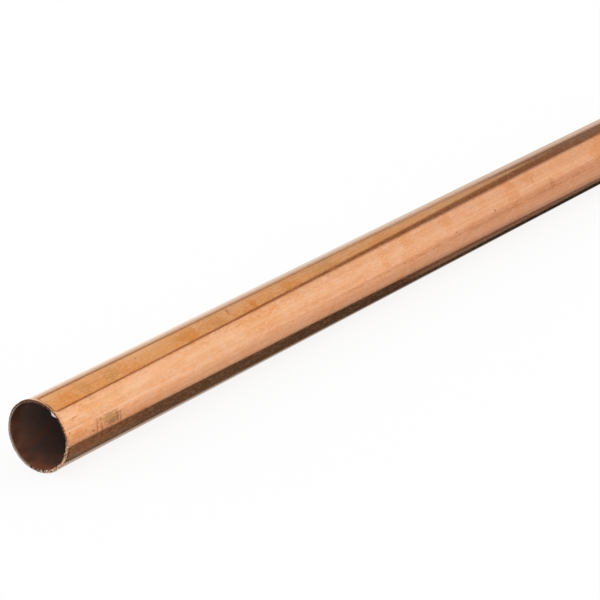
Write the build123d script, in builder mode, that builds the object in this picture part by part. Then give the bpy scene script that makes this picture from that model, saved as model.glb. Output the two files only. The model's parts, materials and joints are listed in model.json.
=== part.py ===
from build123d import *

import os

# A straight length of hard-drawn copper water tube, 3/4 inch nominal with a light wall.
#
# The tube is one piece of metal. It was drawn through a die, so its wall is the same all round, and
# both ends were sawn square: the saw's outer edge is broken with a small radius, and the mouth of the
# bore is reamed back by a small chamfer.
#
# Frame: millimetres, +X along the tube and +Z up. The origin is midway along the line on which the
# tube lies on a level floor, so the tube's own axis runs one outer radius above it.

# Driving dimensions of the drawn tube
OUTER_DIAMETER = 22.225
WALL_THICKNESS = 0.813
TUBE_LENGTH = 609.6

# Driving dimensions of the sawn ends
OUTER_EDGE_RADIUS = 0.12
REAMED_CHAMFER = 0.15

# What follows from them
OUTER_RADIUS = OUTER_DIAMETER / 2
BORE_RADIUS = OUTER_RADIUS - WALL_THICKNESS
AXIS_HEIGHT = OUTER_RADIUS

# The tube's cross-section stands across its axis, which lies along +X above the floor
section_plane = Plane.YZ.offset(-TUBE_LENGTH / 2)

with BuildPart() as tube:
    # The drawn wall: a ring, run out to the stock length
    with BuildSketch(section_plane) as wall_section:
        with Locations((0, AXIS_HEIGHT)):
            Circle(OUTER_RADIUS)
            Circle(BORE_RADIUS, mode=Mode.SUBTRACT)
    extrude(amount=TUBE_LENGTH)

    # The sawn ends: each has an outer rim and the mouth of the bore
    end_circles = tube.edges().filter_by(GeomType.CIRCLE).sort_by(SortBy.RADIUS)
    bore_mouths = end_circles[:2]
    outer_rims = end_circles[-2:]
    fillet(outer_rims, radius=OUTER_EDGE_RADIUS)
    chamfer(bore_mouths, length=REAMED_CHAMFER)

tube.part.label = "tube"

os.makedirs("parts", exist_ok=True)
export_step(tube.part, "parts/tube.step")
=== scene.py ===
"""The looks of a straight length of drawn copper tube, seen from above its freshly sawn near end.

The tube lies along +X on a pale floor. Its wall is one closed skin that is made from a cylinder: both
ends are opened into a bore, the sawn edges are broken, and the saw's burrs and bites are worked into the
rims. Three finishes dress it: bright drawn copper outside, raw saw-cut copper on the rims and a dull
brown film in the bore.

A turn is an angle round the tube's own axis, in degrees: 0 faces the viewer's side, -Y, and 90 is the top.
Lengths are in metres.
"""

import json
import logging
import math
import random
from collections.abc import Callable, Iterable
from dataclasses import dataclass, field
from enum import Enum

import bmesh
import bpy
from mathutils import Euler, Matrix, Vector


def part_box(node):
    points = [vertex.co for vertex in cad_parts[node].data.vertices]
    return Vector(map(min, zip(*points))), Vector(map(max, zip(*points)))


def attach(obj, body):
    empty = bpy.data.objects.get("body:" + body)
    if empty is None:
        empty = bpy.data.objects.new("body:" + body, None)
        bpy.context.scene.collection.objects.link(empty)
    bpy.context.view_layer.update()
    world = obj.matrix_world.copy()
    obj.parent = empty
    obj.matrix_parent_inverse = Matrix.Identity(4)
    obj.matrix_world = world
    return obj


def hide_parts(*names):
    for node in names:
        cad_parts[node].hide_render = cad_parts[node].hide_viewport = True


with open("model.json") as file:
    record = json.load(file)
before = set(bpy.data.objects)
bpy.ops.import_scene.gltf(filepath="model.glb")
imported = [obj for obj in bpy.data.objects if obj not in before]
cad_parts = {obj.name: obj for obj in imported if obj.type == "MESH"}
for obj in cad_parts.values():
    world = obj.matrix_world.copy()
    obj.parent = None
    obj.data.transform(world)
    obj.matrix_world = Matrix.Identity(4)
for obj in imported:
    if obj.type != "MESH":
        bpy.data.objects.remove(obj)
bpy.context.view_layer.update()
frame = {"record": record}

Colour = tuple[float, float, float]
Socket = bpy.types.NodeSocket
Value = float | Socket

MM = 0.001
OPAQUE = 1.0
TALL_BURR_TURN = 54.0

# Places nearer to each other than this are the same place
SAME = 0.01 * MM

# How far a face of the round walls may lie from its radius
SLACK = 0.02 * MM

LOG = logging.getLogger("copper_tube")


class TubeEnd(Enum):
    """Which sawn end of the tube; the value is the side of the origin that it lies on."""

    NEAR = -1
    FAR = 1


class Zone(Enum):
    """The parts of the tube's skin that have a finish of their own; the value is the material's place."""

    WALL = 0
    RIM = 1
    BORE = 2


class MarkKind(Enum):
    """What a small mark on the drawn wall is, or a painted highlight; the value is the colour laid on the
    copper.
    """

    SCUFF = (0.30, 0.14, 0.08)
    TARNISH = (0.84, 0.36, 0.11)
    OLIVE = (0.50, 0.30, 0.11)
    STAIN = (0.55, 0.24, 0.13)
    # A light rub in the copper; some of these light marks are painted highlights.
    RUB_AND_HIGHLIGHT = (1.0, 0.68, 0.47)


@dataclass(frozen=True)
class TubeSizes:
    """The tube's real sizes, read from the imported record.

    Attributes:
        length: From one sawn face to the other.
        outer_radius: Radius of the drawn wall outside.
        bore_radius: Radius of the bore.
        axis_height: Height of the tube's own axis above the floor.
    """

    length: float
    outer_radius: float
    bore_radius: float
    axis_height: float

    @classmethod
    def from_frame(cls) -> "TubeSizes":
        """Read the sizes that the CAD part states.

        Returns:
            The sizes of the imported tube.
        """
        mounts = {mount["name"]: mount for mount in frame["record"]["mounts"]}
        low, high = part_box("tube")
        return cls(
            length=high.x - low.x,
            outer_radius=mounts["outside_wall"]["dims"]["r_mm"] * MM,
            bore_radius=mounts["bore"]["dims"]["r_mm"] * MM,
            axis_height=mounts["outside_wall"]["pos_m"][2],
        )

    @property
    def wall(self) -> float:
        """Thickness of the drawn wall."""
        return self.outer_radius - self.bore_radius

    def radius_at(self, point: Vector) -> float:
        """Distance of a point from the tube's own axis."""
        return math.hypot(point.y, point.z - self.axis_height)

    def turn_at(self, point: Vector) -> float:
        """Angle of a point round the tube, in degrees from the viewer's side."""
        return math.degrees(math.atan2(point.z - self.axis_height, -point.y))

    def face_x(self, end: TubeEnd) -> float:
        """Where a sawn face lies along the tube."""
        return end.value * self.length / 2


class NodeSheet:
    """Writes the nodes of one shader, so that a finish reads as a recipe."""

    def __init__(self, tree: bpy.types.NodeTree) -> None:
        """Start from an empty tree.

        Args:
            tree: The node tree to write in.
        """
        self.tree = tree
        tree.nodes.clear()

    def add(self, kind: str, **settings: object) -> bpy.types.Node:
        """Add one node.

        Args:
            kind: The node's type name.
            **settings: Attributes to set on it.

        Returns:
            The new node.
        """
        node = self.tree.nodes.new(kind)
        for name, value in settings.items():
            setattr(node, name, value)
        return node

    def feed(self, socket: Socket, value: Value | tuple) -> None:
        """Link a socket to another one, or set it to a plain value.

        Args:
            socket: The input that is fed.
            value: The output that it is linked to, or the value that it takes.
        """
        if isinstance(value, bpy.types.NodeSocket):
            self.tree.links.new(value, socket)
        else:
            socket.default_value = value

    def math(self, operation: str, *values: Value) -> Socket:
        """Work out one number from others.

        Args:
            operation: A Math node's operation.
            *values: Its inputs, in order.

        Returns:
            The result's socket.
        """
        node = self.add("ShaderNodeMath", operation=operation)
        for socket, value in zip(node.inputs, values):
            self.feed(socket, value)
        return node.outputs[0]

    def remap(
        self,
        value: Value,
        low: Value,
        high: Value,
        to_low: Value = 0.0,
        to_high: Value = 1.0,
        smooth: bool = True,
    ) -> Socket:
        """Map a number from one range to another, and hold it there.

        Args:
            value: The number.
            low: Start of its range.
            high: End of its range.
            to_low: What the start becomes.
            to_high: What the end becomes.
            smooth: Whether the ends are eased.

        Returns:
            The mapped number's socket.
        """
        node = self.add("ShaderNodeMapRange", interpolation_type="SMOOTHSTEP" if smooth else "LINEAR")
        names = ("Value", "From Min", "From Max", "To Min", "To Max")
        for name, number in zip(names, (value, low, high, to_low, to_high)):
            self.feed(node.inputs[name], number)
        return node.outputs["Result"]

    def blend(self, share: Value, first: Socket | Colour, second: Socket | Colour) -> Socket:
        """Mix two colours.

        Args:
            share: How much of the second shows.
            first: The colour at a share of 0.
            second: The colour at a share of 1.

        Returns:
            The mixed colour's socket.
        """
        node = self.add("ShaderNodeMix", data_type="RGBA")
        self.feed(node.inputs[0], share)
        for place, colour in ((6, first), (7, second)):
            self.feed(node.inputs[place], (*colour, OPAQUE) if isinstance(colour, tuple) else colour)
        return node.outputs[2]

    def scale_colour(self, colour: Socket | Colour, factor: Socket) -> Socket:
        """Make a colour lighter or darker by a factor.

        Args:
            colour: The colour.
            factor: What each of its channels is multiplied by.

        Returns:
            The scaled colour's socket.
        """
        node = self.add("ShaderNodeVectorMath", operation="SCALE")
        self.feed(node.inputs[0], colour)
        self.feed(node.inputs["Scale"], factor)
        return node.outputs[0]

    def stretched(self, vector: Socket, scale: tuple[float, float, float]) -> Socket:
        """Scale a vector along each axis, to stretch the pattern that reads it.

        Args:
            vector: The vector.
            scale: Its factor along each axis.

        Returns:
            The scaled vector's socket.
        """
        node = self.add("ShaderNodeMapping")
        self.feed(node.inputs["Vector"], vector)
        self.feed(node.inputs["Scale"], scale)
        return node.outputs[0]

    def noise(
        self, vector: Socket, detail: float = 2.0, roughness: float = 0.5, swirl: float = 0.0
    ) -> Socket:
        """Smooth random clouds, about one to a unit of the vector.

        Args:
            vector: Where the pattern is read.
            detail: How many finer octaves are added.
            roughness: How strong the finer octaves are.
            swirl: How far the clouds are pulled out of shape.

        Returns:
            The socket of a number about 0.5.
        """
        node = self.add("ShaderNodeTexNoise", noise_dimensions="3D")
        self.feed(node.inputs["Vector"], vector)
        self.feed(node.inputs["Scale"], 1.0)
        self.feed(node.inputs["Detail"], detail)
        self.feed(node.inputs["Roughness"], roughness)
        self.feed(node.inputs["Distortion"], swirl)
        return node.outputs[0]

    def bump(self, height: Socket, distance: float, normal: Socket | None = None) -> Socket:
        """Tilt the surface by a height pattern.

        Args:
            height: The pattern, from 0 to 1.
            distance: How high 1 stands.
            normal: A bumped normal that this one is added to.

        Returns:
            The tilted normal's socket.
        """
        node = self.add("ShaderNodeBump")
        self.feed(node.inputs["Height"], height)
        self.feed(node.inputs["Distance"], distance)
        if normal is not None:
            self.feed(node.inputs["Normal"], normal)
        return node.outputs[0]

    def end_with(self, shader: bpy.types.Node, kind: str = "ShaderNodeOutputMaterial") -> None:
        """Make a shader the tree's result."""
        self.feed(self.add(kind).inputs["Surface"], shader.outputs[0])


class TubePlace:
    """Nodes that say where on the tube a shaded point lies."""

    def __init__(self, sheet: NodeSheet, sizes: TubeSizes) -> None:
        """Write the nodes.

        Args:
            sheet: The shader to write them in.
            sizes: The tube's sizes.
        """
        self.point = sheet.add("ShaderNodeTexCoord").outputs["Object"]
        split = sheet.add("ShaderNodeSeparateXYZ")
        sheet.feed(split.inputs[0], self.point)
        toward = sheet.math("MULTIPLY", split.outputs["Y"], -1.0)
        above = sheet.math("SUBTRACT", split.outputs["Z"], sizes.axis_height)
        self.turn = sheet.math("ARCTAN2", above, toward)
        self.arc = sheet.math("MULTIPLY", self.turn, sizes.outer_radius)
        self.from_near_end = sheet.math("ADD", split.outputs["X"], sizes.length / 2)
        off_middle = sheet.math("ABSOLUTE", split.outputs["X"])
        self.from_an_end = sheet.math("SUBTRACT", sizes.length / 2, off_middle)
        squares = (sheet.math("MULTIPLY", side, side) for side in (toward, above))
        self.radius = sheet.math("SQRT", sheet.math("ADD", *squares))

    def facing(self, sheet: NodeSheet, turn: float) -> Socket:
        """Say how far a point faces one turn: 1 there, -1 at the other side of the tube."""
        return sheet.math("COSINE", sheet.math("SUBTRACT", self.turn, math.radians(turn)))


def new_finish(name: str, sizes: TubeSizes) -> tuple[bpy.types.Material, NodeSheet, TubePlace]:
    """Start a material for the tube's skin.

    Args:
        name: The material's name.
        sizes: The tube's sizes.

    Returns:
        The material, the sheet that its recipe is written on, and where on the tube a point lies.
    """
    material = bpy.data.materials.new(name)
    material.use_nodes = True
    sheet = NodeSheet(material.node_tree)
    return material, sheet, TubePlace(sheet, sizes)


@dataclass(frozen=True)
class Mark:
    """One small mark on the drawn wall: one that handling left, or a painted highlight.

    Attributes:
        kind: What the mark is.
        along: Its middle, from the near end.
        turn: Its angle round the tube.
        half_length: Half its size along the tube.
        half_width: Half its size round the tube.
        lean: How far it leans from the tube's length, in degrees.
        strength: How much of its colour shows.
        broken: How far the metal's grain breaks it up.
    """

    kind: MarkKind
    along: float
    turn: float
    half_length: float
    half_width: float
    lean: float = 0.0
    strength: float = 0.7
    broken: float = 1.5


# The marks on the viewer's side of the near half. A later mark lies over an earlier one.
WALL_MARKS = (
    Mark(MarkKind.SCUFF, 1.7 * MM, 16.4, 0.4 * MM, 0.4 * MM, 0.0, 0.7),
    Mark(MarkKind.TARNISH, 5.0 * MM, 12.0, 3.6 * MM, 1.7 * MM, 0.0, 0.7, 2.0),
    Mark(MarkKind.SCUFF, 5.8 * MM, 34.8, 2.2 * MM, 0.2 * MM, 2.0, 0.7, 0.6),
    Mark(MarkKind.SCUFF, 4.7 * MM, 32.2, 1.1 * MM, 0.17 * MM, -4.0, 0.5, 0.6),
    Mark(MarkKind.SCUFF, 11.8 * MM, 3.2, 0.6 * MM, 0.4 * MM, 0.0, 0.65),
    Mark(MarkKind.SCUFF, 13.6 * MM, 3.0, 3.0 * MM, 0.35 * MM, 84.0, 0.45, 1.2),
    Mark(MarkKind.SCUFF, 15.6 * MM, 1.0, 3.0 * MM, 0.5 * MM, 92.0, 0.5, 1.2),
    Mark(MarkKind.RUB_AND_HIGHLIGHT, 14.2 * MM, -14.0, 3.2 * MM, 0.7 * MM, 84.0, 0.3, 2.4),
    Mark(MarkKind.TARNISH, 16.2 * MM, -15.0, 3.0 * MM, 0.7 * MM, 94.0, 0.5, 2.0),
    Mark(MarkKind.STAIN, 18.4 * MM, 6.0, 5.6 * MM, 2.8 * MM, 0.0, 0.35, 2.5),
    Mark(MarkKind.OLIVE, 20.2 * MM, 9.0, 4.2 * MM, 2.6 * MM, 0.0, 0.55, 1.8),
    Mark(MarkKind.SCUFF, 20.4 * MM, 3.4, 2.2 * MM, 0.9 * MM, 24.0, 0.4, 1.8),
    Mark(MarkKind.SCUFF, 22.8 * MM, 5.4, 2.4 * MM, 0.6 * MM, 97.0, 0.55, 1.6),
    Mark(MarkKind.SCUFF, 24.4 * MM, 3.5, 2.6 * MM, 0.4 * MM, 86.0, 0.45, 1.2),
    Mark(MarkKind.SCUFF, 25.8 * MM, 7.0, 1.5 * MM, 0.3 * MM, 93.0, 0.25, 1.2),
    Mark(MarkKind.RUB_AND_HIGHLIGHT, 80.0 * MM, -1.0, 54.0 * MM, 6.5 * MM, 0.0, 0.24, 1.2),
    Mark(MarkKind.OLIVE, 17.0 * MM, 74.0, 2.6 * MM, 5.0 * MM, 0.0, 0.22, 2.5),
    Mark(MarkKind.TARNISH, 9.0 * MM, 70.0, 3.0 * MM, 4.0 * MM, 0.0, 0.35, 2.5),
    Mark(MarkKind.OLIVE, 30.0 * MM, 80.0, 3.4 * MM, 3.6 * MM, 0.0, 0.28, 2.5),
    Mark(MarkKind.RUB_AND_HIGHLIGHT, 49.7 * MM, 73.4, 9.0 * MM, 5.0 * MM, 0.0, 0.25, 2.0),
    Mark(MarkKind.OLIVE, 79.5 * MM, 77.1, 5.0 * MM, 4.0 * MM, 0.0, 0.2, 2.5),
    Mark(MarkKind.TARNISH, 120.0 * MM, 70.9, 4.0 * MM, 4.0 * MM, 0.0, 0.4, 2.5),
    Mark(MarkKind.OLIVE, 138.7 * MM, 76.6, 8.0 * MM, 4.0 * MM, 0.0, 0.25, 2.5),
    Mark(MarkKind.TARNISH, 174.0 * MM, 78.3, 5.0 * MM, 4.0 * MM, 0.0, 0.4, 2.5),
    Mark(MarkKind.RUB_AND_HIGHLIGHT, 32.6 * MM, -24.0, 1.8 * MM, 3.4 * MM, 0.0, 0.4, 2.0),
    Mark(MarkKind.STAIN, 35.6 * MM, -12.0, 3.4 * MM, 4.0 * MM, 0.0, 0.3, 2.5),
    Mark(MarkKind.TARNISH, 35.8 * MM, 74.0, 1.5 * MM, 4.0 * MM, 0.0, 0.5, 2.5),
    Mark(MarkKind.SCUFF, 42.3 * MM, 77.4, 0.45 * MM, 0.4 * MM, 0.0, 0.7),
    Mark(MarkKind.SCUFF, 59.5 * MM, 21.6, 0.5 * MM, 0.45 * MM, 0.0, 0.4),
    Mark(MarkKind.SCUFF, 59.7 * MM, 13.8, 0.6 * MM, 0.55 * MM, 0.0, 0.3),
    Mark(MarkKind.TARNISH, 66.6 * MM, 74.2, 4.4 * MM, 4.2 * MM, 0.0, 0.6, 2.5),
    Mark(MarkKind.STAIN, 88.3 * MM, 78.6, 2.6 * MM, 0.42 * MM, 64.0, 0.75, 1.2),
    Mark(MarkKind.STAIN, 89.2 * MM, 81.9, 1.3 * MM, 0.8 * MM, 64.0, 0.5, 1.2),
    Mark(MarkKind.TARNISH, 97.0 * MM, 44.0, 9.0 * MM, 5.4 * MM, 0.0, 0.5, 3.5),
    Mark(MarkKind.TARNISH, 99.8 * MM, 73.6, 1.9 * MM, 2.0 * MM, 0.0, 0.8, 1.6),
    # Painted highlight: thin light lines along the tube at one turn, where a lamp's highlight line would
    # lie.
    Mark(MarkKind.RUB_AND_HIGHLIGHT, 4.5 * MM, 19.9, 4.5 * MM, 0.36 * MM, 0.0, 0.5, 1.2),
    Mark(MarkKind.RUB_AND_HIGHLIGHT, 27.0 * MM, 19.9, 8.0 * MM, 0.40 * MM, 0.0, 0.5, 1.5),
    Mark(MarkKind.RUB_AND_HIGHLIGHT, 26.0 * MM, 19.9, 34.0 * MM, 0.34 * MM, 0.0, 0.35, 1.6),
    Mark(MarkKind.RUB_AND_HIGHLIGHT, 70.0 * MM, 19.4, 50.0 * MM, 0.34 * MM, 0.0, 0.25, 2.0),
    Mark(MarkKind.RUB_AND_HIGHLIGHT, 60.0 * MM, 37.6, 80.0 * MM, 0.7 * MM, 0.0, 0.22, 3.0),
    Mark(MarkKind.RUB_AND_HIGHLIGHT, 197.8 * MM, 35.3, 110.0 * MM, 0.7 * MM, 0.0, 0.25, 3.0),
    Mark(MarkKind.TARNISH, 166.4 * MM, 45.2, 2.4 * MM, 5.6 * MM, 0.0, 0.35, 3.0),
    Mark(MarkKind.TARNISH, 182.1 * MM, 51.0, 4.0 * MM, 3.2 * MM, 0.0, 0.4, 3.0),
    # Painted glint: a small bright speck low on the viewer's side.
    Mark(MarkKind.RUB_AND_HIGHLIGHT, 194.0 * MM, -23.6, 1.6 * MM, 0.4 * MM, 10.0, 0.9, 0.5),
    Mark(MarkKind.TARNISH, 206.0 * MM, 49.0, 3.4 * MM, 3.6 * MM, 0.0, 0.4, 3.0),
    Mark(MarkKind.SCUFF, 208.6 * MM, 21.0, 0.5 * MM, 0.4 * MM, 0.0, 0.4),
    Mark(MarkKind.SCUFF, 234.4 * MM, 24.9, 0.8 * MM, 0.55 * MM, 0.0, 0.6),
    Mark(MarkKind.STAIN, 258.3 * MM, 14.0, 75.0 * MM, 0.6 * MM, 0.0, 0.3, 2.0),
    Mark(MarkKind.TARNISH, 248.0 * MM, 40.6, 4.0 * MM, 5.4 * MM, 0.0, 0.5, 2.5),
    Mark(MarkKind.TARNISH, 261.5 * MM, 52.6, 4.6 * MM, 3.4 * MM, 0.0, 0.5, 2.5),
    Mark(MarkKind.STAIN, 262.7 * MM, 42.5, 1.0 * MM, 1.0 * MM, 0.0, 0.5),
    Mark(MarkKind.STAIN, 273.9 * MM, 19.2, 1.6 * MM, 2.4 * MM, 20.0, 0.4, 2.5),
    Mark(MarkKind.TARNISH, 312.4 * MM, 46.6, 11.0 * MM, 4.4 * MM, 0.0, 0.6, 2.5),
)


@dataclass(frozen=True)
class DrawnCopperFinish:
    """The outside: bright hard-drawn copper with die lines, cloudy tarnish and handling marks, and among the
    light marks painted highlight lines and a painted glint.

    Attributes:
        bright: The clean copper's colour.
        pink: Where the metal is freshly drawn and paler.
        orange: Where air has begun to tarnish it.
        olive: Where the drawing oil still hazes it.
        scraped: The lip beside a sawn face, where the saw's drag left the metal raw.
        polish: The roughness of the clean metal.
        handled_to: How far from an end the clouds and the grain are at their strongest.
        calm_from: How far from an end they are at their faintest.
        marks: The small marks on the wall.
    """

    bright: Colour = (0.95, 0.52, 0.29)
    pink: Colour = (0.97, 0.57, 0.36)
    orange: Colour = (0.90, 0.42, 0.16)
    olive: Colour = (0.86, 0.53, 0.25)
    scraped: Colour = (0.98, 0.66, 0.50)
    polish: float = 0.075
    handled_to: float = 100.0 * MM
    calm_from: float = 260.0 * MM
    marks: tuple[Mark, ...] = WALL_MARKS

    def material(self, sizes: TubeSizes) -> bpy.types.Material:
        """Make the finish.

        Args:
            sizes: The tube's sizes, which place the marks.

        Returns:
            The new material.
        """
        material, sheet, place = new_finish("drawn_copper_wall", sizes)
        grain = sheet.noise(sheet.stretched(place.point, (600.0, 1900.0, 1900.0)), 2.0, 0.6)
        mottle = sheet.noise(sheet.stretched(place.point, (120.0, 480.0, 480.0)), 1.5, 0.5, 0.2)
        fray = sheet.math("SUBTRACT", sheet.math("ADD", grain, mottle), 1.0)
        die_lines = sheet.noise(sheet.stretched(place.point, (16.0, 1300.0, 1300.0)), 3.0, 0.6)
        colour, tarnish = self.clouded(sheet, place, fray, mottle)
        colour = sheet.scale_colour(colour, sheet.remap(die_lines, 0.3, 0.7, 0.92, 1.05, smooth=False))
        darkest = sheet.remap(place.from_an_end, self.handled_to, self.calm_from, 0.88, 0.93)
        lightest = sheet.remap(place.from_an_end, self.handled_to, self.calm_from, 1.08, 1.05)
        grained = sheet.remap(grain, 0.3, 0.7, darkest, lightest, smooth=False)
        colour = sheet.scale_colour(colour, grained)
        for mark in self.marks:
            colour = sheet.blend(self.mark_share(sheet, place, sizes, mark, fray), colour, mark.kind.value)
        lip = self.lip_share(sheet, place, grain)
        colour = sheet.blend(lip, colour, self.scraped)
        haze = sheet.math("ADD", sheet.math("MULTIPLY", grain, 0.7), sheet.math("MULTIPLY", mottle, 0.3))
        gloss = sheet.math("ADD", self.polish, sheet.math("MULTIPLY", tarnish, 0.10))
        gloss = sheet.math("ADD", gloss, sheet.math("MULTIPLY", lip, 0.32))
        wave = sheet.noise(sheet.stretched(place.point, (22.0, 320.0, 320.0)), 1.0, 0.5)
        normal = sheet.bump(wave, 0.004 * MM)
        normal = sheet.bump(die_lines, 0.0006 * MM, normal)
        normal = sheet.bump(sheet.math("MULTIPLY", grain, lip), 0.10 * MM, normal)
        shader = sheet.add("ShaderNodeBsdfPrincipled")
        sheet.feed(shader.inputs["Metallic"], sheet.remap(haze, 0.47, 0.58, 1.0, 0.94))
        sheet.feed(shader.inputs["Base Color"], colour)
        sheet.feed(shader.inputs["Roughness"], gloss)
        sheet.feed(shader.inputs["Normal"], normal)
        sheet.end_with(shader)
        return material

    def clouded(
        self, sheet: NodeSheet, place: TubePlace, fray: Socket, mottle: Socket
    ) -> tuple[Socket, Socket]:
        """Lay the soft clouds of pink and orange over the clean copper.

        Args:
            sheet: The shader to write in.
            place: Where on the tube a point lies.
            fray: What frays the clouds' edges, about 0.
            mottle: The small clouds between them.

        Returns:
            The sockets of the clouded colour and of how far the metal is tarnished.
        """
        pink_clouds = sheet.noise(sheet.stretched(place.point, (120.0, 240.0, 240.0)), 4.0, 0.6, 0.8)
        colour = sheet.blend(sheet.remap(pink_clouds, 0.38, 0.62), self.bright, self.pink)
        handled = sheet.remap(place.from_an_end, self.handled_to, self.calm_from, 0.26, 0.13)
        colour = sheet.blend(sheet.remap(mottle, 0.46, 0.66, 0.0, handled), colour, self.orange)
        colour = sheet.blend(sheet.remap(mottle, 0.30, 0.48, handled, 0.0), colour, self.olive)
        broad = sheet.noise(sheet.stretched(place.point, (90.0, 70.0, 70.0)), 3.0, 0.65, 1.2)
        frayed = sheet.math("ADD", broad, sheet.math("MULTIPLY", fray, 0.2))
        tarnish = sheet.remap(frayed, 0.52, 0.74, 0.0, 0.5)
        return sheet.blend(tarnish, colour, self.orange), tarnish

    def lip_share(self, sheet: NodeSheet, place: TubePlace, grain: Socket) -> Socket:
        """Say how much of the scraped lip beside the sawn faces shows.

        Args:
            sheet: The shader to write in.
            place: Where on the tube a point lies.
            grain: The metal's fine grain, which frays the lip's edge.

        Returns:
            The socket of its share.
        """
        uneven = sheet.noise(sheet.stretched(place.point, (200.0, 420.0, 420.0)), 2.0, 0.6)
        reach = sheet.math("MULTIPLY", sheet.math("SUBTRACT", uneven, 0.5), 1.8 * MM)
        finer = sheet.math("MULTIPLY", sheet.math("SUBTRACT", grain, 0.5), 0.5 * MM)
        reach = sheet.math("ADD", reach, finer)
        edge = sheet.math("SUBTRACT", place.from_an_end, reach)
        lengthwise = sheet.remap(edge, 0.75 * MM, 0.35 * MM)
        round_about = sheet.remap(place.facing(sheet, -35.0), 0.45, 0.85)
        return sheet.math("MULTIPLY", lengthwise, round_about)

    def mark_share(
        self,
        sheet: NodeSheet,
        place: TubePlace,
        sizes: TubeSizes,
        mark: Mark,
        fray: Socket,
    ) -> Socket:
        """Say how much of one mark shows at each point.

        Args:
            sheet: The shader to write in.
            place: Where on the tube a point lies.
            sizes: The tube's sizes.
            mark: The mark.
            fray: What breaks the mark up, about 0.

        Returns:
            The socket of its share, 0 off the mark.
        """
        ahead = sheet.math("SUBTRACT", place.from_near_end, mark.along)
        up = sheet.math("SUBTRACT", place.arc, math.radians(mark.turn) * sizes.outer_radius)
        lean = math.radians(mark.lean)
        cosine, sine = math.cos(lean), math.sin(lean)
        lengthwise = sheet.math(
            "ADD",
            sheet.math("MULTIPLY", ahead, cosine / mark.half_length),
            sheet.math("MULTIPLY", up, sine / mark.half_length),
        )
        crosswise = sheet.math(
            "SUBTRACT",
            sheet.math("MULTIPLY", up, cosine / mark.half_width),
            sheet.math("MULTIPLY", ahead, sine / mark.half_width),
        )
        spread = sheet.math(
            "ADD",
            sheet.math("MULTIPLY", lengthwise, lengthwise),
            sheet.math("MULTIPLY", crosswise, crosswise),
        )
        broken = sheet.math("ADD", spread, sheet.math("MULTIPLY", fray, 1.6 * mark.broken))
        return sheet.remap(broken, 0.0, 1.3, mark.strength, 0.0)


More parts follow.
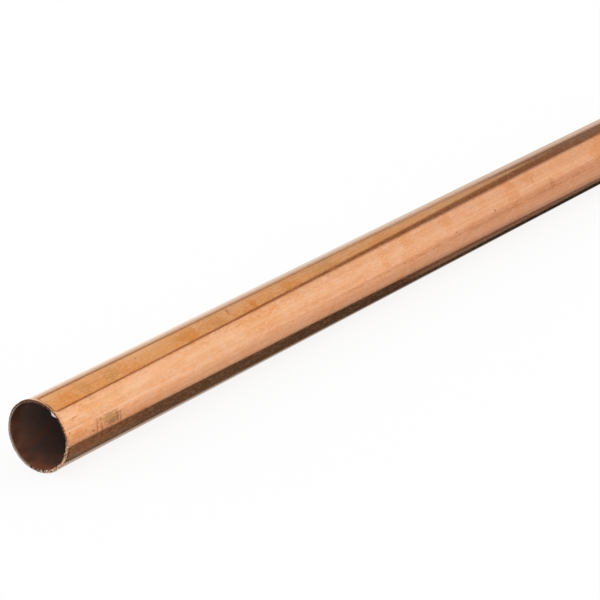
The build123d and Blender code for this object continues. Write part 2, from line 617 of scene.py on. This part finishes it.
@dataclass(frozen=True)
class SawnCopperFinish:
    """The rims: raw copper with the saw's fine lines, mauve where it has dulled, with painted shade at the
    top and along the edges, a painted highlight low on the viewer's side and painted glints.

    Attributes:
        fresh_and_lit: The cut metal's colour low on the viewer's side: partly fresh metal where the saw came
            out, partly a painted highlight.
        glint: A painted glint: the near-white colour of specks low on the viewer's side and of the tall
            burr, where they catch the light.
        warm: Its colour higher up on the viewer's side.
        dull: Its colour behind.
        ruddy_shade: A dark red: painted shade at the top, under the rolled lip, and the same colour low at
            the bottom.
        shade: The colour in the saw's lines.
        painted_edge_shade: Painted shade along the rim's edges, outside and at the mouth of the bore.
    """

    fresh_and_lit: Colour = (1.0, 0.66, 0.49)
    glint: Colour = (1.0, 0.85, 0.77)
    warm: Colour = (0.82, 0.44, 0.28)
    dull: Colour = (0.64, 0.48, 0.44)
    ruddy_shade: Colour = (0.17, 0.065, 0.04)
    shade: Colour = (0.34, 0.18, 0.14)
    painted_edge_shade: Colour = (0.085, 0.03, 0.018)

    def material(self, sizes: TubeSizes) -> bpy.types.Material:
        """Make the finish.

        Args:
            sizes: The tube's sizes, which place the rim's two edges.

        Returns:
            The new material.
        """
        material, sheet, place = new_finish("sawn_copper_rim", sizes)
        lines = sheet.noise(sheet.stretched(place.point, (300.0, 7000.0, 700.0)), 2.0, 0.6)
        patches = sheet.noise(sheet.stretched(place.point, (900.0, 900.0, 900.0)), 3.0, 0.65)
        uneven = sheet.math("SUBTRACT", patches, 0.5)
        # Painted shade at the top, under the rolled lip; the same dark red low at the bottom.
        top = sheet.remap(sheet.math("ADD", place.facing(sheet, 88.0), uneven), 0.55, 0.9, 0.0, 0.85)
        lowest = sheet.math("ADD", place.facing(sheet, -91.0), uneven)
        below = sheet.remap(lowest, 0.93, 0.98, 0.0, 0.95)
        # Lighter pink copper low on the viewer's side: partly fresh metal, partly a painted highlight.
        fresh_and_lit_share = sheet.remap(sheet.math("ADD", place.facing(sheet, -42.0), uneven), 0.6, 0.9)
        colour = sheet.blend(sheet.remap(place.facing(sheet, 5.0), 0.2, 0.8), self.dull, self.warm)
        colour = sheet.blend(fresh_and_lit_share, colour, self.fresh_and_lit)
        colour = sheet.blend(sheet.math("MAXIMUM", top, below), colour, self.ruddy_shade)
        lined = sheet.remap(lines, 0.5, 0.75, 0.0, sheet.remap(fresh_and_lit_share, 0.0, 1.0, 0.6, 0.3))
        colour = sheet.blend(lined, colour, self.shade)
        # Painted shade along the outer edge and the mouth of the bore, strongest towards turn 60.
        inward = sheet.math("SUBTRACT", place.radius, sizes.bore_radius)
        outer = sheet.remap(inward, sizes.wall - 0.20 * MM, sizes.wall - 0.02 * MM)
        outer = sheet.math("MULTIPLY", outer, sheet.remap(place.facing(sheet, 20.0), 0.4, 0.9, 0.1, 0.75))
        reach = sheet.remap(place.facing(sheet, 30.0), 0.5, 1.0, 0.42 * MM, 0.64 * MM)
        edges = sheet.math("ADD", sheet.remap(inward, reach, 0.14 * MM), outer)
        edge_shading_by_turn = sheet.remap(place.facing(sheet, 60.0), -0.6, 0.5, 0.4, 1.0)
        edge_shading = sheet.math("MULTIPLY", edges, sheet.remap(fresh_and_lit_share, 0.2, 0.9, 1.0, 0.1))
        edge_shading = sheet.math("MULTIPLY", edge_shading, edge_shading_by_turn)
        colour = sheet.blend(edge_shading, colour, self.painted_edge_shade)
        # Painted glints: near-white specks and the tall burr, made less metallic so that they stay bright
        # whichever way they face.
        painted_glint = self.painted_glint_share(sheet, place, sizes)
        colour = sheet.blend(painted_glint, colour, self.glint)
        shader = sheet.add("ShaderNodeBsdfPrincipled")
        sheet.feed(shader.inputs["Metallic"], sheet.remap(painted_glint, 0.0, 1.0, 1.0, 0.25))
        sheet.feed(shader.inputs["Base Color"], colour)
        sheet.feed(shader.inputs["Roughness"], sheet.remap(patches, 0.3, 0.7, 0.38, 0.20))
        sheet.feed(shader.inputs["Normal"], sheet.bump(patches, 0.12 * MM, sheet.bump(lines, 0.01 * MM)))
        sheet.end_with(shader)
        return material

    def painted_glint_share(self, sheet: NodeSheet, place: TubePlace, sizes: TubeSizes) -> Socket:
        """Say where painted glints lie: near-white specks low on the viewer's side and the tall burr.

        Args:
            sheet: The shader to write in.
            place: Where on the tube a point lies.
            sizes: The tube's sizes.

        Returns:
            The socket of its share, on the tall burr and in specks low on the viewer's side.
        """
        glint_noise = sheet.noise(sheet.stretched(place.point, (1500.0, 1500.0, 1500.0)), 1.0, 0.5)
        glint_side = sheet.remap(place.facing(sheet, -66.0), 0.88, 0.97)
        glint_specks = sheet.math("MULTIPLY", sheet.remap(glint_noise, 0.57, 0.61), glint_side)
        burr = sheet.remap(place.facing(sheet, TALL_BURR_TURN), 0.991, 0.997)
        inner = sheet.remap(place.radius, sizes.bore_radius + 0.45 * MM, sizes.bore_radius + 0.25 * MM)
        return sheet.math("MAXIMUM", glint_specks, sheet.math("MULTIPLY", burr, inner))


@dataclass(frozen=True)
class BoreFinish:
    """The bore: copper under a dull brown film that the drawing oil left, with painted light at the mouth's
    bottom and further in.

    Attributes:
        mouth: The film's colour at the mouth, where the saw's heat reddened it.
        glow: A painted glow of light at the mouth's bottom.
        film: Its colour behind the mouth.
        deep_painted_light: A lighter grey painted further in, as painted light in the bore's dark depth.
        thin: Where the film is thin and copper glows through, most of all along the bottom.
    """

    mouth: Colour = (0.15, 0.058, 0.03)
    glow: Colour = (0.54, 0.145, 0.045)
    film: Colour = (0.23, 0.14, 0.112)
    deep_painted_light: Colour = (0.30, 0.25, 0.245)
    thin: Colour = (0.48, 0.21, 0.135)

    def material(self, sizes: TubeSizes) -> bpy.types.Material:
        """Make the finish.

        Args:
            sizes: The tube's sizes, which place the bore's mouths and bottom.

        Returns:
            The new material.
        """
        material, sheet, place = new_finish("dull_bore", sizes)
        clouds = sheet.noise(sheet.stretched(place.point, (90.0, 170.0, 170.0)), 3.0, 0.55, 0.5)
        streaks = sheet.noise(sheet.stretched(place.point, (12.0, 900.0, 900.0)), 2.0, 0.5)
        # Painted glow of light at the mouth's bottom.
        colour = sheet.blend(sheet.remap(place.facing(sheet, -66.0), 0.6, 1.0), self.mouth, self.glow)
        colour = sheet.blend(sheet.remap(place.from_an_end, 1.2 * MM, 6.5 * MM), colour, self.film)
        # Painted light: lighter and greyer further into the bore.
        colour = sheet.blend(sheet.remap(place.from_an_end, 4.0 * MM, 26.0 * MM), colour, self.deep_painted_light)
        bottom = sheet.math("MULTIPLY", place.facing(sheet, -80.0), 0.16)
        thinness = sheet.remap(sheet.math("ADD", clouds, bottom), 0.45, 0.85, 0.0, 0.7)
        colour = sheet.blend(thinness, colour, self.thin)
        shader = sheet.add("ShaderNodeBsdfPrincipled")
        shader.inputs["Metallic"].default_value = 0.45
        sheet.feed(shader.inputs["Base Color"], colour)
        sheet.feed(shader.inputs["Roughness"], sheet.remap(streaks, 0.3, 0.7, 0.5, 0.42))
        sheet.feed(shader.inputs["Normal"], sheet.bump(streaks, 0.003 * MM))
        sheet.end_with(shader)
        return material


@dataclass(frozen=True)
class Burr:
    """A sliver of copper that the saw left standing at a rim.

    Attributes:
        turn: Its middle, as an angle round the tube.
        half_width: Half of its width, in degrees.
        height: How far it stands out.
    """

    turn: float
    half_width: float
    height: float

    def lift(self, turn: float) -> float:
        """How far it lifts the rim at an angle round the tube."""
        away = ((turn - self.turn + 180.0) % 360.0 - 180.0) / self.half_width
        return self.height * max(0.0, 1.0 - away * away)


@dataclass(frozen=True)
class BurrRow:
    """Small burrs that lie along a stretch of a rim by chance.

    Attributes:
        count: How many there are.
        turns: Where the stretch begins and ends, as angles round the tube.
        half_widths: Their least and greatest half width, in degrees.
        heights: Their least and greatest height.
    """

    count: int
    turns: tuple[float, float]
    half_widths: tuple[float, float]
    heights: tuple[float, float]

    def scatter(self, chance: random.Random) -> list[Burr]:
        """Lay out the row.

        Args:
            chance: What the places and sizes are drawn from.

        Returns:
            The burrs.
        """
        ranges = (self.turns, self.half_widths, self.heights)
        return [Burr(*(chance.uniform(*span) for span in ranges)) for _ in range(self.count)]


@dataclass
class DrawnTube:
    """The whole tube, as one closed skin with three finishes.

    Attributes:
        sizes: The tube's real sizes.
        facets: Faces round the tube.
        edge_radius: Radius that breaks the saw's outer edge.
        reamed: Chamfer at the mouth of the bore.
        rim_cuts: Loops cut across each sawn face.
        bite_depth: How far the saw's bites reach into the rim.
        bite_size: About how wide a bite is.
        bite_reach: How far from the sawn face the bites fade out.
        bite_middle: The turn where the saw broke through and bit deepest.
        least_bite: The share of that depth everywhere else.
        tall_burr: The sliver that stands at the mouth of the bore, near the top.
        burr_rows: The small burrs beside it.
        rolled_lip: Where the saw rolled the outer edge over.
        least_lip: How much of that lip there is everywhere else.
        lip_wave: About how long the lip's waves are.
        seed: Sets where the small burrs lie.
    """

    sizes: TubeSizes
    facets: int = 720
    edge_radius: float = 0.12 * MM
    reamed: float = 0.15 * MM
    rim_cuts: int = 3
    bite_depth: float = 0.42 * MM
    bite_size: float = 0.6 * MM
    bite_reach: float = 0.9 * MM
    bite_middle: float = -15.0
    least_bite: float = 0.22
    tall_burr: Burr = Burr(TALL_BURR_TURN, 5.0, 0.38 * MM)
    burr_rows: tuple[BurrRow, ...] = (
        BurrRow(30, (-95.0, 75.0), (1.0, 3.5), (0.05 * MM, 0.24 * MM)),
        BurrRow(12, (-84.0, -42.0), (2.0, 5.0), (0.15 * MM, 0.34 * MM)),
    )
    rolled_lip: Burr = Burr(96.0, 85.0, 0.70 * MM)
    least_lip: float = 0.2
    lip_wave: float = 4.0 * MM
    seed: int = 11
    skin: bpy.types.Object = field(init=False)

    def build(self) -> bpy.types.Object:
        """Model the tube, dress it and put it in place of the CAD solid.

        Returns:
            The finished piece.
        """
        self.add_blank()
        self.open_bore()
        self.break_edges()
        self.split_rims()
        self.ring_the_wall()
        self.dress()
        for end in TubeEnd:
            self.bite_rim(end)
            self.raise_burrs(end)
            self.roll_lip(end)
        self.smooth()
        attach(self.skin, "root")
        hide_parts("tube")
        return self.skin

    def add_blank(self) -> None:
        """Add the solid bar that the tube is made from, lying along +X."""
        bpy.ops.object.select_all(action="DESELECT")
        bpy.ops.mesh.primitive_cylinder_add(
            vertices=self.facets,
            radius=self.sizes.outer_radius,
            depth=self.sizes.length,
            end_fill_type="NGON",
            location=(0.0, 0.0, self.sizes.axis_height),
            rotation=(0.0, math.pi / 2, 0.0),
        )
        self.skin = bpy.context.object
        self.skin.name = "copper_tube"
        self.skin.data.name = "copper_tube"
        bpy.ops.object.transform_apply(location=True, rotation=True, scale=True)

    def edit(self, mode: str) -> bmesh.types.BMesh:
        """Enter edit mode with nothing selected.

        Args:
            mode: What is selected next: VERT, EDGE or FACE.

        Returns:
            The mesh that is being edited.
        """
        bpy.ops.object.mode_set(mode="EDIT")
        bpy.ops.mesh.select_mode(type=mode)
        bpy.ops.mesh.select_all(action="DESELECT")
        return bmesh.from_edit_mesh(self.skin.data)

    def select(self, elements: Iterable, chosen: Callable[[object], bool]) -> None:
        """Select what passes a test.

        Args:
            elements: Vertices, edges or faces of the mesh that is being edited.
            chosen: The test.
        """
        for element in [element for element in elements if chosen(element)]:
            element.select_set(True)
        bmesh.update_edit_mesh(self.skin.data)

    def open_bore(self) -> None:
        """Inset both sawn faces by the wall, and join them through the bar."""
        mesh = self.edit("FACE")
        self.select(mesh.faces, lambda face: abs(face.normal.x) > 0.9)
        bpy.ops.mesh.inset(thickness=self.sizes.wall, depth=0.0)
        bpy.ops.mesh.bridge_edge_loops()
        bpy.ops.object.mode_set(mode="OBJECT")

    def break_edges(self) -> None:
        """Round the outer edges that the saw left, and chamfer the mouths of the bore."""
        for end in TubeEnd:
            for outer, size, segments in ((True, self.edge_radius, 3), (False, self.reamed, 2)):
                mesh = self.edit("EDGE")
                self.select(mesh.edges, lambda edge: self.is_rim_edge(edge, end, outer))
                bpy.ops.mesh.bevel(offset=size, segments=segments, affect="EDGES")
                bpy.ops.object.mode_set(mode="OBJECT")

    def is_rim_edge(self, edge: bmesh.types.BMEdge, end: TubeEnd, outer: bool) -> bool:
        """Say whether an edge runs round one end's outer rim, or round its mouth of the bore.

        Args:
            edge: The edge.
            end: The end that is asked for.
            outer: Whether the outer rim is asked for.

        Returns:
            Whether it does.
        """
        first, second = (vert.co for vert in edge.verts)
        if min(end.value * first.x, end.value * second.x) < self.sizes.length / 2 - SAME:
            return False
        radii = (self.sizes.radius_at(first), self.sizes.radius_at(second))
        if abs(radii[0] - radii[1]) > SAME:
            return False
        return (radii[0] > (self.sizes.outer_radius + self.sizes.bore_radius) / 2) == outer

    def ring_the_wall(self) -> None:
        """Cut the long wall into rings, close together at the ends and wider towards the middle."""
        self.edit("FACE")
        step = 0.25 * MM
        growth = 1.35
        place = self.sizes.length / 2 - self.edge_radius - step
        stations = []
        while place > 0.0:
            stations += [place, -place]
            step *= growth
            place -= step
        for station in sorted(stations):
            bpy.ops.mesh.select_all(action="SELECT")
            bpy.ops.mesh.bisect(plane_co=(station, 0.0, 0.0), plane_no=(1.0, 0.0, 0.0))
        bpy.ops.object.mode_set(mode="OBJECT")
        LOG.info("rings: %d", len(stations))

    def split_rims(self) -> None:
        """Cut loops across the sawn faces, so that the saw's work shows in them."""
        mesh = self.edit("EDGE")
        self.select(mesh.edges, self.crosses_rim)
        bpy.ops.mesh.subdivide(number_cuts=self.rim_cuts)
        bpy.ops.object.mode_set(mode="OBJECT")

    def crosses_rim(self, edge: bmesh.types.BMEdge) -> bool:
        """Say whether an edge runs straight across a sawn face.

        Args:
            edge: The edge.

        Returns:
            Whether it does.
        """
        first, second = (vert.co for vert in edge.verts)
        if min(abs(first.x), abs(second.x)) < self.sizes.length / 2 - SAME:
            return False
        return abs(self.sizes.radius_at(first) - self.sizes.radius_at(second)) > 0.3 * self.sizes.wall

    def push_group(
        self, end: TubeEnd, name: str, weight: Callable[[Vector, float], float]
    ) -> bpy.types.VertexGroup:
        """Weigh the vertices beside a sawn face.

        Args:
            end: Which sawn face.
            name: The new group's name.
            weight: Weight of a vertex from its place and its distance from the face.

        Returns:
            The new vertex group.
        """
        group = self.skin.vertex_groups.new(name=f"{name}_{end.name.lower()}")
        face_x = self.sizes.face_x(end)
        for vertex in self.skin.data.vertices:
            depth = abs(vertex.co.x - face_x)
            if depth < self.bite_reach:
                group.add([vertex.index], max(0.0, min(1.0, weight(vertex.co, depth))), "REPLACE")
        return group

    def bite_rim(self, end: TubeEnd) -> None:
        """Work the saw's bites into a rim: deep where it broke through, shallow elsewhere."""

        def weight(point: Vector, depth: float) -> float:
            """Weigh a vertex by how near it lies to the middle of the bites."""
            facing = math.cos(math.radians(self.sizes.turn_at(point) - self.bite_middle))
            return (1.0 - depth / self.bite_reach) * max(self.least_bite, min(1.0, 0.4 + facing))

        group = self.push_group(end, "bitten", weight)
        texture = bpy.data.textures.new("saw_bites_" + end.name.lower(), type="CLOUDS")
        texture.noise_scale = self.bite_size
        texture.noise_depth = 2
        texture.contrast = 1.6
        self.displace(group, texture, "X", -end.value * self.bite_depth)

    def raise_burrs(self, end: TubeEnd) -> None:
        """Raise the tall burr and a row of small ones at the mouth of the bore."""
        chance = random.Random(self.seed)
        burrs = [self.tall_burr]
        for row in self.burr_rows:
            burrs += row.scatter(chance)
        inner = self.sizes.bore_radius + self.reamed + SLACK
        deepest = 1.6 * self.reamed + self.bite_depth
        tallest = self.tall_burr.height

        def weight(point: Vector, depth: float) -> float:
            """Weigh a vertex by the tallest burr over it."""
            if self.sizes.radius_at(point) > inner or depth > deepest:
                return 0.0
            return max(burr.lift(self.sizes.turn_at(point)) for burr in burrs) / tallest

        self.displace(self.push_group(end, "burr", weight), None, "NORMAL", tallest)

    def roll_lip(self, end: TubeEnd) -> None:
        """Roll the outer edge over a little, where the saw went in."""
        outer = self.sizes.outer_radius - self.edge_radius

        def weight(point: Vector, depth: float) -> float:
            """Weigh a vertex of the outer edge by how far the lip is rolled there."""
            if self.sizes.radius_at(point) < outer:
                return 0.0
            share = self.rolled_lip.lift(self.sizes.turn_at(point)) / self.rolled_lip.height
            return max(self.least_lip, share) * (1.0 - depth / self.bite_reach)

        texture = bpy.data.textures.new("uneven_lip_" + end.name.lower(), type="CLOUDS")
        texture.noise_scale = self.lip_wave
        texture.noise_depth = 1
        self.displace(self.push_group(end, "rolled", weight), texture, "NORMAL", self.rolled_lip.height)

    def displace(
        self,
        group: bpy.types.VertexGroup,
        texture: bpy.types.Texture | None,
        direction: str,
        strength: float,
    ) -> None:
        """Push a group of vertices, and apply the push.

        Args:
            group: The vertices and their weights.
            texture: What sets how far each vertex goes, if anything does.
            direction: Which way it goes.
            strength: How far a full weight pushes.
        """
        modifier = self.skin.modifiers.new("push", "DISPLACE")
        modifier.texture = texture
        modifier.texture_coords = "LOCAL"
        modifier.vertex_group = group.name
        modifier.direction = direction
        modifier.mid_level = 0.0
        modifier.strength = strength
        bpy.context.view_layer.objects.active = self.skin
        bpy.ops.object.modifier_apply(modifier=modifier.name)

    def dress(self) -> None:
        """Give each zone of the skin its finish."""
        mesh = self.skin.data
        mesh.materials.append(DrawnCopperFinish().material(self.sizes))
        mesh.materials.append(SawnCopperFinish().material(self.sizes))
        mesh.materials.append(BoreFinish().material(self.sizes))
        for polygon in mesh.polygons:
            polygon.material_index = self.zone_of(polygon).value

    def smooth(self) -> None:
        """Smooth the round faces, and keep the sharp edges."""
        bpy.ops.object.select_all(action="DESELECT")
        self.skin.select_set(True)
        bpy.context.view_layer.objects.active = self.skin
        bpy.ops.object.shade_smooth_by_angle(angle=math.radians(50.0))

    def zone_of(self, polygon: bpy.types.MeshPolygon) -> Zone:
        """Say which finish a face takes, by its place.

        Args:
            polygon: The face.

        Returns:
            The zone that it lies in.
        """
        depth = self.sizes.length / 2 - abs(polygon.center.x)
        radius = self.sizes.radius_at(polygon.center)
        if radius > self.sizes.outer_radius - SLACK:
            return Zone.WALL
        if radius < self.sizes.bore_radius + SLACK and depth > self.reamed:
            return Zone.BORE
        return Zone.RIM


@dataclass(frozen=True)
class StudioStep:
    """Where the studio changes round the tube, for what the metal mirrors.

    The studio is written as its light at each turn about the tube's own axis. The steps follow each other
    from below the tube, past the viewer, over the top and down behind.

    Attributes:
        turn: Where the step lies for the near end of the tube, in degrees.
        near: The light past the step, for the near end.
        far: The same for the far end of what the camera sees.
        softness: Half of its blur, in degrees.
        drift: How far it moves for the far end.
        curve: How far it moves beyond that, as the square of the way.
        spread: How much more it is blurred at the far end.
        since: Where on the way it begins.
        until: Where on the way it ends, and what lies below it shows again.
    """

    turn: float
    near: Colour
    far: Colour
    softness: float
    drift: float = 0.0
    curve: float = 0.0
    spread: float = 0.0
    since: float = -9.0
    until: float = 9.0


@dataclass(frozen=True)
class Studio:
    """A plain white studio: a pale floor and, mirrored in the metal, a soft box, a gold board and flags.

    The places and lights of the steps were fitted to the photographed bands by a program, and some were
    later changed.

    Attributes:
        backdrop: The light behind and below the tube.
        near_slope: How steeply the mirrored view leaves the tube at its near end, as a cotangent.
        far_slope: The same where the camera's view ends.
        steps: The changes of light round the tube.
        floor_size: How long and wide the floor is.
        floor_white: The floor's colour, as one level.
        floor_glow: How much of the floor the camera sees as plain white, over what is lit.
    """

    backdrop: Colour = (0.72, 0.70, 0.68)
    near_slope: float = 0.948
    far_slope: float = 1.407
    steps: tuple[StudioStep, ...] = (
        StudioStep(-127.4, (0.46, 0.48, 0.49), (0.18, 0.18, 0.17), 15.0, -0.9),
        StudioStep(-101.9, (0.11, 0.09, 0.07), (0.02, 0.018, 0.015), 6.0, -15.0, -5.4, 2.0),
        StudioStep(-90.8, (0.19, 0.15, 0.12), (0.11, 0.09, 0.08), 5.0, -0.7),
        StudioStep(-88.8, (0.20, 0.18, 0.15), (0.18, 0.14, 0.12), 4.0, -0.7, 0.0, 0.0, 0.72),
        StudioStep(-75.9, (0.195, 0.135, 0.10), (0.15, 0.085, 0.06), 4.0, 2.2),
        StudioStep(-99.8, (0.13, 0.095, 0.07), (0.02, 0.015, 0.012), 6.0, -10.5, 0.0, 0.0, 0.15, 0.72),
        StudioStep(-39.6, (0.645, 0.515, 0.435), (0.485, 0.39, 0.36), 2.6, -22.4, -3.2, 4.0),
        StudioStep(-33.1, (0.715, 0.575, 0.475), (0.65, 0.53, 0.475), 6.0, -14.7),
        StudioStep(-20.1, (0.85, 0.73, 0.63), (0.66, 0.51, 0.43), 8.0, -1.0),
        StudioStep(-4.2, (0.92, 0.82, 0.74), (0.865, 0.745, 0.69), 5.0, -13.0, 31.5),
        StudioStep(19.8, (1.0, 0.95, 0.86), (0.83, 0.715, 0.645), 10.0, -1.4),
        StudioStep(57.6, (0.955, 0.865, 0.79), (0.80, 0.69, 0.63), 8.0, -2.0),
        StudioStep(72.0, (0.34, 0.145, 0.04), (0.215, 0.14, 0.10), 2.0, 21.3, -0.5, 7.0),
        StudioStep(77.5, (0.80, 0.605, 0.37), (0.60, 0.50, 0.37), 1.8, 15.3, 33.7, 2.0, -9.0, 1.04),
        StudioStep(126.3, (0.84, 0.69, 0.49), (0.52, 0.44, 0.335), 4.0, -0.3, 0.0, 0.0, -9.0, 1.04),
        StudioStep(134.1, (0.27, 0.21, 0.17), (0.27, 0.21, 0.17), 5.0, -3.6, 0.0, 0.0, 1.12),
        StudioStep(149.8, (0.38, 0.25, 0.145), (0.48, 0.385, 0.29), 3.0, -8.5, 0.0, 0.0, -9.0, 0.95),
        StudioStep(257.6, (0.23, 0.175, 0.14), (0.21, 0.165, 0.14), 3.0, -120.0, 0.0, 0.0, 0.9),
        StudioStep(161.0, (0.72, 0.70, 0.68), (0.535, 0.51, 0.50), 4.0, -9.2),
        StudioStep(176.8, (0.94, 1.0, 1.0), (0.73, 0.79, 0.82), 10.0, -9.6),
        StudioStep(195.8, (1.0, 0.97, 0.88), (0.68, 0.58, 0.48), 9.0, -16.5),
    )
    floor_size: float = 30.0
    floor_white: float = 0.98
    floor_glow: float = 0.88

    def light(self) -> None:
        """Make the world: the studio for what the metal mirrors, and plain white for all else."""
        world = bpy.data.worlds.new("studio")
        bpy.context.scene.world = world
        world.use_nodes = True
        world.cycles.sampling_method = "NONE"
        sheet = NodeSheet(world.node_tree)
        split = sheet.add("ShaderNodeSeparateXYZ")
        sheet.feed(split.inputs[0], sheet.add("ShaderNodeTexCoord").outputs["Generated"])
        ahead, across, up = (split.outputs[name] for name in "XYZ")
        turn = sheet.math("DEGREES", sheet.math("ARCTAN2", up, sheet.math("MULTIPLY", across, -1.0)))
        lowest, highest = -140.0, 220.0
        turn = sheet.math("WRAP", turn, highest, lowest)
        side = sheet.math("SQRT", sheet.math("SUBTRACT", 1.0, sheet.math("MULTIPLY", ahead, ahead)))
        slope = sheet.math("DIVIDE", ahead, sheet.math("MAXIMUM", side, 0.05))
        margin, overrun, fade = 0.15, 0.3, 0.04
        slopes = (self.near_slope - margin, self.far_slope + margin)
        way = sheet.remap(slope, *slopes, -overrun, 1.0 + overrun, smooth=False)
        way_squared = sheet.math("MULTIPLY", way, way)
        share = sheet.remap(way, 0.0, 1.0, smooth=False)
        light = self.backdrop
        for step in self.steps:
            edge = sheet.math("ADD", step.turn, sheet.math("MULTIPLY", way, step.drift))
            edge = sheet.math("ADD", edge, sheet.math("MULTIPLY", way_squared, step.curve))
            blur = sheet.math("ADD", step.softness, sheet.math("MULTIPLY", share, step.spread))
            past = sheet.math("DIVIDE", sheet.math("SUBTRACT", turn, edge), blur)
            past = sheet.remap(past, -1.0, 1.0)
            past = sheet.math("MULTIPLY", past, sheet.remap(way, step.since - fade, step.since + fade))
            past = sheet.math("MULTIPLY", past, sheet.remap(way, step.until + fade, step.until - fade))
            light = sheet.blend(past, light, sheet.blend(share, step.near, step.far))
        # Behind the near end the studio is dimmer, which the sawn rim mirrors
        light = sheet.scale_colour(light, sheet.remap(ahead, -0.85, -0.4, 0.55, 1.0))
        mirrored = sheet.add("ShaderNodeBackground")
        sheet.feed(mirrored.inputs["Color"], light)
        plain = sheet.add("ShaderNodeBackground")
        sheet.feed(plain.inputs["Color"], (1.0, 1.0, 1.0, OPAQUE))
        mixed = sheet.add("ShaderNodeMixShader")
        sheet.feed(mixed.inputs[0], sheet.add("ShaderNodeLightPath").outputs["Is Glossy Ray"])
        sheet.feed(mixed.inputs[1], plain.outputs[0])
        sheet.feed(mixed.inputs[2], mirrored.outputs[0])
        sheet.end_with(mixed, "ShaderNodeOutputWorld")

    def lay_floor(self) -> bpy.types.Object:
        """Lay the pale floor that keeps the tube's soft shadow.

        Returns:
            The floor.
        """
        bpy.ops.object.select_all(action="DESELECT")
        bpy.ops.mesh.primitive_plane_add(size=self.floor_size, location=(0.0, 0.0, 0.0))
        floor = bpy.context.object
        floor.name = "floor"
        floor.visible_glossy = False
        material = bpy.data.materials.new("pale_floor")
        material.use_nodes = True
        sheet = NodeSheet(material.node_tree)
        matt = sheet.add("ShaderNodeBsdfDiffuse")
        sheet.feed(matt.inputs["Color"], (*[self.floor_white] * 3, OPAQUE))
        glow = sheet.add("ShaderNodeEmission")
        seen = sheet.add("ShaderNodeLightPath").outputs["Is Camera Ray"]
        seen = sheet.math("MULTIPLY", seen, self.floor_glow)
        mixed = sheet.add("ShaderNodeMixShader")
        sheet.feed(mixed.inputs[0], seen)
        sheet.feed(mixed.inputs[1], matt.outputs[0])
        sheet.feed(mixed.inputs[2], glow.outputs[0])
        sheet.end_with(mixed)
        floor.data.materials.append(material)
        return floor


@dataclass(frozen=True)
class Viewpoint:
    """The camera: a long lens that looks down along the tube from beyond its near end.

    Its numbers were fitted by a program to the photographed end and long edges.

    Attributes:
        back: How far the camera stands behind the near face, along the tube.
        aside: How far it stands from the tube on the viewer's side.
        height: How high it stands above the tube's axis.
        heading: Which way it looks, in degrees from the tube's length towards +Y.
        dip: How far it looks down, in degrees.
        lens: Focal length in millimetres, on a sensor of the width below.
        sensor: Sensor width in millimetres.
    """

    back: float = 532.77 * MM
    aside: float = 470.07 * MM
    height: float = 313.74 * MM
    heading: float = 35.333
    dip: float = 21.028
    lens: float = 161.32
    sensor: float = 36.0

    def set_up(self, sizes: TubeSizes) -> bpy.types.Object:
        """Make the camera and look through it.

        Args:
            sizes: The tube's sizes.

        Returns:
            The camera.
        """
        data = bpy.data.cameras.new("camera")
        data.lens = self.lens
        data.sensor_width = self.sensor
        data.clip_end = 100.0
        camera = bpy.data.objects.new("camera", data)
        bpy.context.scene.collection.objects.link(camera)
        near_x = sizes.face_x(TubeEnd.NEAR)
        camera.location = (near_x - self.back, -self.aside, sizes.axis_height + self.height)
        tilt = math.radians(90.0 - self.dip)
        camera.rotation_euler = Euler((tilt, 0.0, math.radians(self.heading - 90.0)))
        bpy.context.scene.camera = camera
        return camera


def main() -> None:
    """Build the studio and the tube, and report each piece."""
    logging.basicConfig(level=logging.INFO, format="%(name)s: %(message)s")
    sizes = TubeSizes.from_frame()
    Viewpoint().set_up(sizes)
    bpy.context.scene.view_settings.view_transform = "Standard"
    studio = Studio()
    studio.light()
    studio.lay_floor()
    tube = DrawnTube(sizes).build()
    LOG.info("%s: %d faces", tube.name, len(tube.data.polygons))


if __name__ == "__main__":
    main()
